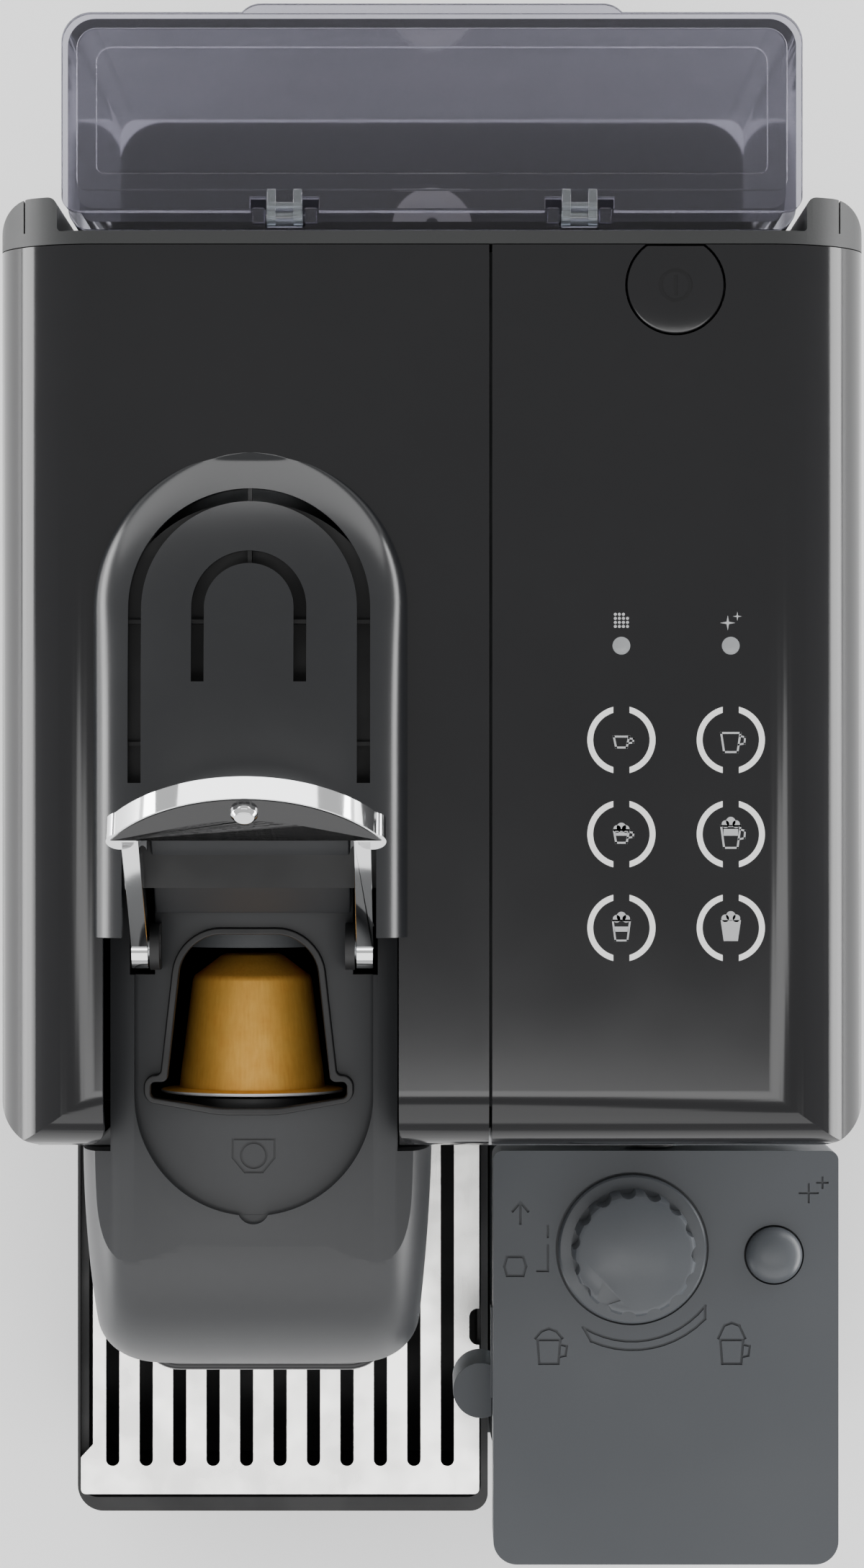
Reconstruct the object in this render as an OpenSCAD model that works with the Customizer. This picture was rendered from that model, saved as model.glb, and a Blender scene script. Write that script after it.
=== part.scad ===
// Pod coffee machine with a docked milk jug: every sub-part is one module.
// Millimetres, +Z up, front towards -Y, feet on Z = 0.

/* [Overall size] */
// Width of the housing across both sides
body_w = 173; // [166:1:208]
// Depth of the housing from its front edge to the rear frame
body_d = 178.5; // [164:0.5:215]
// Height of the glossy top panel above the table
body_h = 245; // [236:1:294]
// How far the drip tray reaches in front of the housing
tray_out = 96; // [86:1:116]
// Depth of the water tank behind the housing
tank_d = 41.8; // [34:0.1:50]

/* [Housing] */
// Thickness of the moulded shells
wall = 2.5; // [2:0.1:3]
// Radius along the two upper side edges
side_r = 20; // [14:1:26]
// Radius along the front edge of the top
front_r = 11.5; // [8:0.5:14]
// Gap between separate covers
seam = 0.6; // [0.4:0.1:1.2]

/* [Brew head] */
// Width of the narrow neck of the head
neck_w = 57.7; // [56:0.1:60]
// Width of the drum in front of the housing
drum_w = 70.7; // [66:0.1:76]
// How far the drum reaches in front of the housing
drum_out = 48; // [40:1:56]
// Rim diameter of a capsule
capsule_rim = 37; // [35:0.1:38]
// Radius of the lever pins
pin_r = 2.5; // [2:0.1:2.8]
// Radial running clearance of pins and guides
run = 0.06; // [0.03:0.01:0.09]
// How far the lever leans back from its closed place, in degrees
lever_open = 124; // [100:1:125]

/* [Tray and jug] */
// Height of the cup grid above the table
grid_z = 78; // [66:1:94]
// Number of slots in the cup grid
grid_slots = 11; // [9:1:12]
// Outer radius of the froth knob's base disc
knob_r = 15.6; // [13:0.1:17]
// Radius of the power button
power_r = 9.95; // [9:0.05:12]
// Height of the floor of the water tank
tank_floor = 99; // [85:1:110]

/* [Hidden] */
$fn = 64;
hw = body_w/2;
yf = -65.5;
yr = yf + body_d;
sx = 11.6;
hx = (sx - hw)/2 + 1.65;
cx = hx - 1;
ht = body_h - 14;
cz = body_h - 37;
lz = body_h - 11.1;
ly = -26;
oz = body_h - 80;
jt = body_h - 65;
lip_z = body_h - 31;
nh = neck_w/2;
dh = drum_w/2;
yd = yf - drum_out;
ytray = yf - tray_out;
tx0 = -hw + 4.6;
tx1 = sx + 1.3;
jx0 = sx + 1.3;
jx1 = hw - 0.9;
jy0 = yf - 92.3;
jy1 = yf - 5.2;
shelf = 58;
pz = jt - 10;
bin_top = 122;
bin_y = 38;
kx = (jx0 + jx1)/2 - 7.1;
ky = yf - 25.8;
clean = [jx1 - 13.6, yf - 27.1];
power = [48.1, yr - 8];
ty0 = yr + 4;
ty1 = ty0 + tank_d;
tw = hw - 14;
tt = body_h - 9;
hinge_y = yr + 6.4;
hinge_z = body_h - 7.8;
led_y = 33.8;
key_x = [37.4, 59];
key_y = [15.2, -3.4, -21.9];
vx = 0;
vy = ty0 + 15;
cup_r = 15.3;

// Helpers
module notch(x, y, dx, dy, r) if (r > 0.01) difference() {
  translate([dx > 0 ? x - 1 : x - r, dy > 0 ? y - 1 : y - r]) square(r + 1);
  translate([x + dx*r, y + dy*r]) circle(r);
}
module pan(x0, x1, y0, y1, r = [0, 0, 0, 0]) difference() {
  translate([x0, y0]) square([x1 - x0, y1 - y0]);
  notch(x0, y0, 1, 1, r[0]);
  notch(x1, y0, -1, 1, r[1]);
  notch(x1, y1, -1, -1, r[2]);
  notch(x0, y1, 1, -1, r[3]);
}
module along_z(z0, z1) translate([0, 0, z0]) linear_extrude(z1 - z0) children();
module along_y(y0, y1) translate([0, y1, 0]) rotate([90, 0, 0]) linear_extrude(y1 - y0) children();
module along_x(x0, x1) translate([x0, 0, 0]) rotate([90, 0, 90]) linear_extrude(x1 - x0) children();
module bx(x0, x1, y0, y1, z0, z1) translate([x0, y0, z0]) cube([x1 - x0, y1 - y0, z1 - z0]);
module cz_(x, y, r, z0, z1) translate([x, y, z0]) cylinder(h = z1 - z0, r = r);
module cy_(x, z, r, y0, y1) translate([x, y1, z]) rotate([90, 0, 0]) cylinder(h = y1 - y0, r = r);
module cx_(y, z, r, x0, x1) translate([x0, y, z]) rotate([0, 90, 0]) cylinder(h = x1 - x0, r = r);

// Housing form, moved inwards by o
module form(o, back, low) intersection() {
  along_y(yf - 1, back) pan(-hw + o, hw - o, low, body_h - o, [0, 0, side_r - o, side_r - o]);
  along_x(-hw - 1, hw + 1) pan(yf + o, back, low, body_h - o, [0, 0, 0, front_r - o]);
  along_z(low, body_h) pan(-hw + o, hw - o, yf + o, back, [10 - o, 10 - o, 0, 0]);
}
// Opening of the top under the hood and over the neck
module head_gap(o) {
  translate([hx, 41]) circle(nh + o);
  translate([hx - nh - o, yf - 20]) square([neck_w + 2*o, 41 - yf + 20]);
}
module shell_half() difference() {
  form(0, yr, 8);
  form(wall, yr + 2, 6);
  bx(-hw + 6, hw - 6, yf - 2, yf + 5, 6, lip_z);
  along_z(body_h - 40, body_h + 2) head_gap(0.4);
}
// Capsule slot seen from above, grown by o
module slot2(o) translate([cx, 0]) {
  w = capsule_rim/2 + 1.7;
  pan(-w - o, w + o, -58.7 - o, -53 + o, [1.5, 1.5, 1.5, 1.5]);
  polygon([[-17 - o, -54], [17 + o, -54], [13.5 + o, -26.7], [-13.5 - o, -26.7]]);
  intersection() {
    translate([0, -50.3]) circle(27.1 + o);
    translate([-13.5 - o, -26.8]) square([27 + 2*o, 9]);
  }
}
module key_ring2() for (x = key_x, y = key_y) translate([x, y]) difference() {
  circle(6.73);
  circle(5.58);
  translate([-1.6, -8]) square([3.2, 16]);
}

module base_plate() color("#3a3b3d") difference() {
  union() {
    along_z(4, 7) pan(-hw + 3, hw - 3, ytray + 9, yr + 2, [6, 6, 0, 0]);
    along_z(4, 7) pan(-tw + 1, tw - 1, yr + 1, ty1 - 3, [0, 0, 12, 12]);
    bx(-hw + 3, -hw + 5.4, yf + 12, yr - 1, 6, 14);
    bx(hw - 5.4, hw - 3, yf + 12, yr - 1, 6, 14);
  }
  for (p = screws) cz_(p[0], p[1], 2.02, 3, 9);
  for (p = screws) cz_(p[0], p[1], 4, 3, 5.2);
  for (p = feet_at) cz_(p[0], p[1], 5, 3, 5);
  for (i = [0:6]) bx(24 + i*6, 27 + i*6, 30, 70, 3, 9);
}
screws = [[-hw + 14, yr - 10], [hw - 14, yr - 10], [-hw + 44, yr - 10], [hw - 44, yr - 10],
 [hw - 12, yf + 12], [sx + 14, yf + 12]];
feet_at = [[-hw + 14, ytray + 21], [hw - 14, ytray + 21], [-hw + 14, yr - 24], [hw - 14, yr - 24],
 [-tw + 14, ty1 - 15], [tw - 14, ty1 - 15]];

module feet() color("#1c1c1d") for (p = feet_at) {
  cz_(p[0], p[1], 8, 0, 4);
  cz_(p[0], p[1], 4.97, 3.5, 5);
}
module base_screws() color("#b9bbbd") for (p = screws) difference() {
  union() {
    cz_(p[0], p[1], 3.7, 4.4, 5.2);
    cz_(p[0], p[1], 2, 5, 11);
  }
  bx(p[0] - 2, p[0] + 2, p[1] - 0.4, p[1] + 0.4, 4, 4.9);
  bx(p[0] - 0.4, p[0] + 0.4, p[1] - 2, p[1] + 2, 4, 4.9);
}
// Middle wall, boiler shelf and pump cradle in one moulding
module chassis() color("#55575a") difference() {
  union() {
    bx(sx - 1.4, sx + 1.2, yf + 8, yr - 1, 7, body_h - 5);
    bx(-hw + 5.6, sx - 1, bin_y + 6, bin_y + 9, 7, cz - 40);
    bx(-hw + 5.6, sx - 1, bin_y + 6, yr - 1, cz - 42, cz - 39);
    bx(sx + 1, hw - 5.6, yf + 30, yf + 32.6, 7, 90);
    for (p = screws) cz_(p[0], p[1], 5, 7, 16);
  }
  for (p = screws) cz_(p[0], p[1], 2.02, 6, 12);
  cx_(60, 60, 8, sx - 3, sx + 3);
  cx_(104, cz - 4, 5, sx - 3, sx + 3);
  cx_(0, 150, 12, sx - 3, sx + 3);
  cy_(-40, 60, 10, bin_y + 5, bin_y + 10);
}
module left_shell() color("#2c2c2e") difference() {
  shell_half();
  bx(sx - seam/2, hw + 2, yf - 2, yr + 2, 6, body_h + 2);
}
module right_shell() color("#2c2c2e") difference() {
  shell_half();
  bx(-hw - 2, sx + seam/2, yf - 2, yr + 2, 6, body_h + 2);
  for (x = key_x) cz_(x, led_y, 1.84, body_h - 5, body_h + 1);
  along_z(body_h - 0.6, body_h + 1) key_ring2();
  cz_(power[0], power[1], power_r, body_h - 5, body_h + 1);
}
module rear_plan() {
  pan(-hw, hw, yr + 0.2, yr + 2.8);
  for (s = [0, 1]) mirror([s, 0]) pan(hw - 12.3, hw, yr + 0.2, yr + 9.5, [0, 0, 8, 3]);
}
module rear_frame() color("#4a4b4c") difference() {
  intersection() {
    along_z(7.3, body_h) rear_plan();
    along_y(yr - 2, yr + 12) pan(-hw, hw, 7.3, body_h, [0, 0, side_r, side_r]);
  }
  bx(hw - 46, hw - 26, yr - 1, yr + 4, 12, 34);
  cy_(vx, tank_floor - 22, 5, yr - 1, yr + 5);
  for (i = [0:8]) bx(-hw + 22, -hw + 46, yr - 1, yr + 4, 20 + i*6, 23 + i*6);
}
module front_panel() color("#a9abac") difference() {
  union() {
    along_y(yf - 1.5, yf + 2) pan(-hw + 6.3, hw - 6.3, bin_top + 3, lip_z - 0.3, [2, 0, 0, 0]);
    along_y(yf - 1.5, yf + 2) pan(tx1 + 1.8, hw - 6.3, shelf + 0.4, bin_top + 4);
  }
  bx(hx - nh - 0.3, hx + nh + 0.3, yf - 5, yf + 5, oz - 8, body_h);
  cy_(kx + 4, pz, 7.02, yf - 5, yf + 5);
}
module hood_form() intersection() {
  along_z(body_h, body_h + 14) {
    translate([hx, 41]) circle(31);
    translate([hx - 31, -23.6]) square([62, 64.6]);
  }
  along_x(hx - 32, hx + 32) pan(-23.6, 73.5, body_h - 1, body_h + 13, [0, 0, 12, 3]);
  along_y(-30, 75) pan(hx - 31, hx + 31, body_h - 1, body_h + 13, [0, 0, 3, 3]);
}
module arch_slot(r, w, y0, z0) {
  translate([hx, 41, z0]) rotate_extrude(angle = 180) translate([r - w/2, 0]) square([w, 20]);
  for (s = [-1, 1]) bx(hx + s*r - w/2, hx + s*r + w/2, y0, 41, z0, z0 + 20);
}
module hood() color("#3d3e40") difference() {
  union() {
    difference() {
      hood_form();
      intersection() {
        along_z(body_h - 1, body_h + 14) {
          translate([hx, 41]) circle(28.6);
          translate([hx - 28.6, -21.2]) square([57.2, 62.2]);
        }
        along_x(hx - 32, hx + 32) pan(-21.2, 71, body_h - 2, body_h + 10.6, [0, 0, 9.6, 0]);
      }
      bx(hx - 19.9, hx + 19.9, -24, 0, body_h - 1, body_h + 20);
    }
    along_x(hx - 19.6, hx + 19.6)
      polygon([[-19.4, ht + 0.3], [-16.6, ht + 0.3], [3, body_h + 11], [0, body_h + 11]]);
  }
  arch_slot(22.4, 2.6, 6.7, body_h + 5);
  arch_slot(10, 2.5, 26.5, body_h + 5);
  for (s = [-1, 1]) bx(hx + s*22.4 - 2.5, hx + s*22.4 + 2.5, -32, -5.5, body_h - 2, body_h + 20);
}
module head_outer() {
  intersection() {
    along_x(hx - dh, hx + dh) pan(yd, yf - 1.8, oz, ht, [4, 0, 0, 36]);
    along_z(oz - 1, ht + 1) pan(hx - dh, hx + dh, yd, yf - 1.8, [22, 22, 3, 3]);
    along_y(yd - 1, yf) pan(hx - dh, hx + dh, oz, ht, [0, 0, 12, 12]);
  }
  along_y(yf - 4, -12) pan(hx - nh, hx + nh, oz, ht, [0, 0, 3, 3]);
}
module head_inner() {
  intersection() {
    along_x(hx - dh, hx + dh) pan(yd + 3, yf - 4.8, oz - 2, ht - 5.5, [0, 0, 0, 33]);
    along_z(oz - 3, ht) pan(hx - dh + 3, hx + dh - 3, yd + 3, yf - 4.8, [19, 19, 0, 0]);
  }
  bx(hx - nh + 2.4, hx + nh - 2.4, yf - 6, -10, oz - 2, ht - 5.5);
}
module brew_head() color("#5b5c5f") difference() {
  head_outer();
  head_inner();
  along_z(ht - 2.5, ht + 5) {
    translate([hx, -56]) circle(24);
    translate([hx - 24, -56]) square([48, 50]);
  }
  along_z(oz, ht + 5) slot2(1.65);
  cz_(hx, ly - 52.5, 2.2, ht - 3, ht + 3);
  for (s = [-1, 1]) bx(hx + s*21.8 - 3.3, hx + s*21.8 + 3.3, -31.8, -10, oz - 3, ht + 5);
}
module coffee_outlet() color("#2a2a2c") difference() {
  union() {
    along_z(oz - 7, oz - 0.1) pan(hx - 27, hx + 27, yd - 5.3, yf - 4, [20, 20, 3, 3]);
    cz_(hx, yf - 34, 9, oz - 15, oz - 6);
  }
  cz_(hx, yf - 34, 6.5, oz - 12, oz + 1);
  for (s = [-1, 1]) cz_(hx + s*3.4, yf - 34, 2.2, oz - 17, oz - 10);
  along_z(oz - 4, oz + 1) pan(hx - 24, hx + 24, yd + 1, yf - 7, [17, 17, 2, 2]);
}
module slot_lip() color("#1b1b1c") along_z(ht - 5.4, ht - 1.7) difference() {
  slot2(1.6);
  slot2(0);
}
module extraction_plate() color("#2f3032") difference() {
  union() {
    cy_(cx, cz, 17, yf + 1, -57);
    bx(hx - nh + 2.6, hx + nh - 2.6, yf + 1, yf + 4, cz - 22, cz + 15);
    cy_(cx, cz - 20, 5, yf - 28, yf + 2);
  }
  cy_(cx, cz - 20, 3, yf - 30, yf);
  for (a = [0:30:330], r = [6, 12]) translate([cx + r*cos(a), -57, cz + r*sin(a)])
    rotate([90, 0, 0]) translate([0, 0, -1]) cylinder(h = 3, r = 0.8, $fn = 8);
}
module lever_bearings() color("#19191a") for (s = [-1, 1]) difference() {
  union() {
    bx(hx + s*19.45 - 0.95, hx + s*19.45 + 0.95, ly - 4.6, ly + 4.6, ht - 12, lz);
    cx_(ly, lz, 4.6, hx + s*19.45 - 0.95, hx + s*19.45 + 0.95);
  }
  cx_(ly, lz, pin_r, hx + s*19.45 - 3, hx + s*19.45 + 3);
}
module lever_pins() color("#c4c6c8") for (s = [-1, 1])
  cx_(ly, lz, pin_r, hx + s*21.3 - 2.8, hx + s*21.3 + 2.8);
// Lever drawn closed, then turned back to its open rest place
module lever_turn() translate([0, ly, lz]) rotate([-lever_open, 0, 0]) translate([0, -ly, -lz]) children();
module lever_plan() {
  intersection() {
    difference() {
      translate([hx, ly - 25.2]) circle(31.8);
      translate([hx, ly - 14.93]) circle(34.57);
    }
    translate([hx - 30, ly - 60]) square([60, 18]);
  }
  for (s = [-1, 1]) {
    translate([hx + s*24.25, ly - 42]) circle(2.75);
    translate([hx + s*22.4 - 1.7, ly - 43.5]) square([3.4, 43.5]);
  }
}
module brew_lever() color("#d7d9db") lever_turn() difference() {
  union() {
    along_z(lz - 2.5, lz + 2.5) lever_plan();
    for (s = [-1, 1]) cx_(ly, lz, 4.3, hx + s*22.4 - 1.7, hx + s*22.4 + 1.7);
  }
  cx_(ly, lz, pin_r + run, hx - 30, hx + 30);
}
module lever_nub() color("#c9cbcd") lever_turn()
  translate([hx, ly - 52.5, lz - 4.2]) cylinder(h = 1.7, r = 1.2);
module brew_piston() color("#3f4144") difference() {
  union() {
    cy_(cx, cz, 17, -26.5, 8);
    cy_(cx, cz, 8, 7, 48);
  }
  cy_(cx, cz, cup_r, -28, 1.6);
  cy_(cx, cz, 1.5, 0, 50);
  cy_(cx, cz, 16.2, -28, -24.5);
}
module piston_seal() color("#b5482c") difference() {
  cy_(cx, cz, 16.2, -26.5, -24.5);
  cy_(cx, cz, cup_r, -27, -24);
}
module piston_guide() color("#56585b") difference() {
  bx(-hw + 5.8, sx - 1.4, 10, 18, cz - 24, cz + 18);
  cy_(cx, cz, 8 + run, 9, 19);
}
module boiler() color("#a7a9ab") difference() {
  union() {
    cy_(cx, cz - 4, 27, 58, 92);
    cy_(cx, cz - 4, 9, 52, 98);
    for (a = [45:90:315]) translate([cx + 26*cos(a), 0, cz - 4 + 26*sin(a)]) cy_(0, 0, 4, 60, 90);
    bx(cx - 16, cx + 16, 62, 88, cz - 39, cz - 20);
  }
  cy_(cx, cz - 4, 4, 50, 100);
}
module pump_body() color("#2b2c2e") difference() {
  union() {
    cy_(50, 46, 11, 18, 88);
    cy_(50, 46, 5, 6, 100);
    cy_(50, 46, 16, 34, 38);
    cy_(50, 46, 16, 68, 72);
  }
  cy_(50, 46, 2.5, 4, 102);
}
module pump_coil() color("#8c2f22") difference() {
  bx(34, 66, 38.2, 67.8, 30, 62);
  cy_(50, 46, 11.02, 37, 70);
}
module pump_mounts() color("#232324") for (y = [22, 80]) difference() {
  union() {
    cy_(50, 46, 17, y, y + 6);
    bx(40, 60, y, y + 6, 7, 32);
  }
  cy_(50, 46, 11.02, y - 1, y + 7);
}
module flow_meter() color("#d9d7cf") {
  cz_(-58, 80, 15, 24, 44);
  cz_(-58, 80, 9, 44, 52);
  cz_(-58, 80, 18, 20, 24);
  bx(-61, -55, 62, 68, 30, 36);
  bx(-63, -53, 75, 85, 7, 21);
}
// Straight hose runs joined by slightly wider elbows
module pipe(p, r) for (i = [0:len(p) - 2]) {
  d = p[i + 1] - p[i];
  translate(p[i]) rotate([0, acos(d[2]/norm(d)), atan2(d[1], d[0])]) cylinder(h = norm(d), r = r);
  if (i < len(p) - 2) translate(p[i + 1]) sphere(r + 0.7);
}
module water_hoses() color("#e6e6e2") {
  pipe([[-58, 95.3, 34], [-58, 104, 34], [vx, 104, 34], [vx, 104, tank_floor - 22],
    [vx, vy, tank_floor - 22], [vx, vy, tank_floor - 5.6]], 3);
  pipe([[-58, 61.7, 33], [-58, 55, 33], [-58, 55, 60], [30, 55, 60], [30, 55, 100], [50, 104, 100],
    [50, 104, 46], [50, 100.2, 46]], 2.6);
  pipe([[50, 5.8, 46], [50, 0, 46], [30, 0, 46], [30, 0, 116], [30, 104, 116], [30, 104, cz - 4],
    [cx, 104, cz - 4], [cx, 98.2, cz - 4]], 2.6);
}
module steam_valve() color("#77797c") {
  bx(28, 48, -22, -2, 120, 146);
  cz_(38, -12, 9, 146, 170);
  cz_(38, -12, 3, 170, 176);
  bx(sx + 1.2, 29, -18, -6, 124, 140);
}
module steam_hose() color("#dcdcd8") pipe([[38, -22.2, 134], [38, -34, 134], [38, -34, pz],
  [kx + 4, -34, pz], [kx + 4, yf + 8.2, pz]], 2.6);
module steam_nozzle() color("#2a2b2d") difference() {
  union() {
    cy_(kx + 4, pz, 7, yf - 2, yf + 8);
    cy_(kx + 4, pz, 10, yf + 2.1, yf + 5);
    cy_(kx + 4, pz, 5, yf - 4.8, yf);
  }
  cy_(kx + 4, pz, 1.8, yf - 6, yf + 9);
}
module control_board() color("#2f6b3f") {
  bx(sx + 2.6, sx + 4.2, 5, 95, 130, 215);
  bx(sx + 4.2, sx + 16, 40, 62, 178, 204);
  bx(sx + 4.2, sx + 12, 20, 34, 150, 170);
  cx_(75, 190, 6, sx + 4.2, sx + 20);
  cx_(84, 150, 5, sx + 4.2, sx + 18);
  for (i = [0:4]) bx(sx + 4.2, sx + 11, 10 + i*9, 16 + i*9, 134, 142);
  bx(sx + 1.2, sx + 2.6, 10, 14, 140, 144);
  bx(sx + 1.2, sx + 2.6, 86, 90, 205, 209);
}
module touch_board() color("#2b5f7a") difference() {
  union() {
    bx(24, 70, -34, 46, body_h - 5.4, body_h - 3.8);
    for (x = key_x, y = key_y) cz_(x, y, 5, body_h - 4, body_h - 2.5);
    bx(28, 40, 0, 10, body_h - 8, body_h - 5.4);
  }
}
module power_switch() color("#b8b9ba") {
  bx(power[0] - 12, power[0] + 12, power[1] - 10, power[1] + 6, body_h - 17, body_h - 15.4);
  bx(power[0] - 4, power[0] + 4, power[1] - 4, power[1] + 4, body_h - 15.4, body_h - 12);
  bx(power[0] - 10, power[0] - 7, power[1] - 10, power[1] - 8, body_h - 15.5, body_h - 2.5);
  bx(power[0] + 7, power[0] + 10, power[1] - 10, power[1] - 8, body_h - 15.5, body_h - 2.5);
}
module power_button() color("#29292b") difference() {
  intersection() {
    union() {
      cz_(power[0], power[1], power_r - 0.3, body_h - 5, body_h);
      cz_(power[0], power[1], 3, body_h - 10.2, body_h - 4);
    }
    bx(power[0] - 20, power[0] + 20, power[1] - 20, yr - 0.3, body_h - 12, body_h + 2);
  }
  translate([power[0], power[1], body_h - 0.25]) difference() {
    cylinder(h = 2, r = 3.3);
    translate([0, 0, -1]) cylinder(h = 4, r = 2.5);
  }
}
module led_lenses() color("#8f9092") for (x = key_x) cz_(x, led_y, 1.8, body_h - 3.8, body_h - 0.05);
module key_rings() color("#f2f2f0") along_z(body_h - 0.59, body_h + 0.02) key_ring2();
module tank_seat() color("#48494b") difference() {
  union() {
    along_z(7.1, tank_floor - 3) pan(-tw + 1.5, tw - 1.5, yr + 3, ty1 - 2, [0, 0, 10, 10]);
    cz_(vx, vy, 13, tank_floor - 4, tank_floor - 0.4);
  }
  along_z(6, tank_floor - 5.5) pan(-tw + 4, tw - 4, yr + 5.4, ty1 - 4.5, [0, 0, 8, 8]);
  cz_(vx, vy, 10.5, tank_floor - 3, tank_floor + 2);
  cz_(vx, vy, 3, tank_floor - 8, tank_floor + 2);
  cy_(hw - 36, 24, 7, ty1 - 6, ty1);
  bx(hw - 46, hw - 26, yr + 2, yr + 8, 12, 34);
  cy_(vx, tank_floor - 22, 6, yr + 2, yr + 8);
}
module seat_seal() color("#202021") difference() {
  cz_(vx, vy, 10.4, tank_floor - 2.9, tank_floor - 1);
  cz_(vx, vy, 8, tank_floor - 4, tank_floor + 1);
}
module cable_gland() color("#1e1e1f") difference() {
  union() {
    cy_(hw - 36, 24, 6.9, ty1 - 6, ty1 + 1);
    cy_(hw - 36, 24, 9, ty1 - 7, ty1 - 4.6);
    cy_(hw - 36, 24, 9, ty1 - 1.9, ty1 - 0.4);
  }
  cy_(hw - 36, 24, 3.6, ty1 - 9, ty1 + 3);
}
module jug_shelf() color("#48494b") difference() {
  along_z(7.1, shelf) pan(tx1 + 0.7, hw - 1.2, jy0 + 4, yf - 0.4, [9, 9, 0, 0]);
  along_z(6, shelf - 2.6) pan(tx1 + 3.3, hw - 3.8, jy0 + 6.6, yf - 3, [7, 7, 0, 0]);
}
module water_tank() color("#8f959b") {
  difference() {
    union() {
      along_z(tank_floor, tt) pan(-tw, tw, ty0, ty1, [4, 4, 12, 12]);
      for (s = [-1, 1], t = [-5.2, 5.2])
        bx(s*29.3 + t - 1.3, s*29.3 + t + 1.3, hinge_y - 1.8, hinge_y + 1.8, tt - 4, hinge_z + 1.8);
    }
    along_z(tank_floor + 2, tt - 6) pan(-tw + 2, tw - 2, ty0 + 2, ty1 - 2, [2.5, 2.5, 10, 10]);
    along_z(tt - 7, tt + 1) pan(-tw + 2, tw - 2, hinge_y + 1.7, ty1 - 2, [2.5, 2.5, 10, 10]);
    cz_(vx, vy, 6.5, tank_floor - 1, tank_floor + 3);
    for (s = [-1, 1]) cx_(hinge_y, hinge_z, 3.5, s*29.3 - 3.9, s*29.3 + 3.9);
  }
  for (s = [-1, 1]) cx_(hinge_y, hinge_z, 1.6, s*29.3 - 4, s*29.3 + 4);
}
module tank_lid() color("#6d7276") difference() {
  union() {
    along_z(tt + 0.2, body_h - 5) pan(-tw - 1.1, tw + 1.1, yr + 7.2, ty1 + 0.9, [3, 3, 13, 13]);
    along_z(tt - 3, tt + 1) pan(-tw + 2.8, tw - 2.8, hinge_y + 5, ty1 - 3.2, [2, 2, 9, 9]);
    along_z(body_h - 8, body_h - 5) pan(-39, 39, ty1 - 4, ty1 + 2.7, [0, 0, 5, 5]);
    for (s = [-1, 1]) {
      cx_(hinge_y, hinge_z, 3.2, s*29.3 - 3.7, s*29.3 + 3.7);
      bx(s*29.3 - 3.7, s*29.3 + 3.7, hinge_y, hinge_y + 6, tt + 0.3, body_h - 5);
    }
  }
  for (s = [-1, 1]) cx_(hinge_y, hinge_z, 1.6 + run, s*29.3 - 5, s*29.3 + 5);
  for (s = [-1, 1], t = [-5.2, 5.2])
    bx(s*29.3 + t - 1.5, s*29.3 + t + 1.5, hinge_y - 5, hinge_y + 2.9, tt - 5, body_h);
  along_z(tt - 5, body_h - 7.4) pan(-tw + 4.4, tw - 4.4, hinge_y + 7, ty1 - 4.8, [1, 1, 7.5, 7.5]);
}
module tank_valve() color("#e0e0dc") difference() {
  union() {
    cz_(vx, vy, 9, tank_floor + 2.1, tank_floor + 5);
    cz_(vx, vy, 6.4, tank_floor - 2, tank_floor + 10);
  }
  cz_(vx, vy, 4.2, tank_floor - 3, tank_floor + 8);
  for (a = [0:45:135]) translate([vx, vy, 0]) rotate([0, 0, a])
    bx(-12, 12, -0.8, 0.8, tank_floor + 5.6, tank_floor + 7.6);
  cz_(vx, vy, 1.56, tank_floor + 7, tank_floor + 12);
}
module valve_poppet() color("#3a3c3e") {
  cz_(vx, vy, 3.8, tank_floor - 0.8, tank_floor + 1.2);
  cz_(vx, vy, 1.5, tank_floor - 0.8, tank_floor + 11);
}
module capsule_shell() color("#e3b45f") difference() {
  translate([cx, -56.3, cz]) rotate([-90, 0, 0]) rotate_extrude() polygon([[0, 0], [capsule_rim/2, 0],
    [capsule_rim/2, 0.6], [14.9, 1.2], [12.1, 23.7], [4, 28.1], [0, 28.1]]);
  translate([cx, -56.31, cz]) rotate([-90, 0, 0]) rotate_extrude() polygon([[0, -1], [14.4, -1],
    [14.4, 1.2], [11.7, 23.4], [3.8, 27.7], [0, 27.7]]);
}
module capsule_foil() color("#d8d9da") cy_(cx, cz, capsule_rim/2 - 0.6, -56.7, -56.32);
module drip_tray() color("#303133") difference() {
  union() {
    along_z(7.3, grid_z - 1) pan(tx0, tx1, ytray + 2.5, yf - 0.6, [8, 4, 0, 0]);
    along_z(grid_z - 12, grid_z - 1) pan(tx0, tx1, ytray, ytray + 12, [6, 4, 0, 0]);
  }
  along_z(9.8, grid_z + 1) pan(tx0 + 2.4, tx1 - 2.4, ytray + 5, yf - 3, [6, 3, 0, 0]);
  along_z(grid_z - 4.5, grid_z + 1) pan(tx0 + 0.6, tx1 - 1.6, ytray + 3.2, yf, [4, 3, 0, 0]);
}
module capsule_bin() color("#3a3b3d") difference() {
  union() {
    bx(tx0 + 1.8, sx - 2.6, yf - 0.4, bin_y, 7.6, bin_top);
    along_y(yf - 0.5, yf + 2) pan(tx0 + 1.8, sx - 1.8, grid_z + 1.5, bin_top + 2, [1, 1, 3, 3]);
  }
  bx(tx0 + 4.2, sx - 5, yf + 2.1, bin_y - 2.4, 10, bin_top + 5);
}
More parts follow.
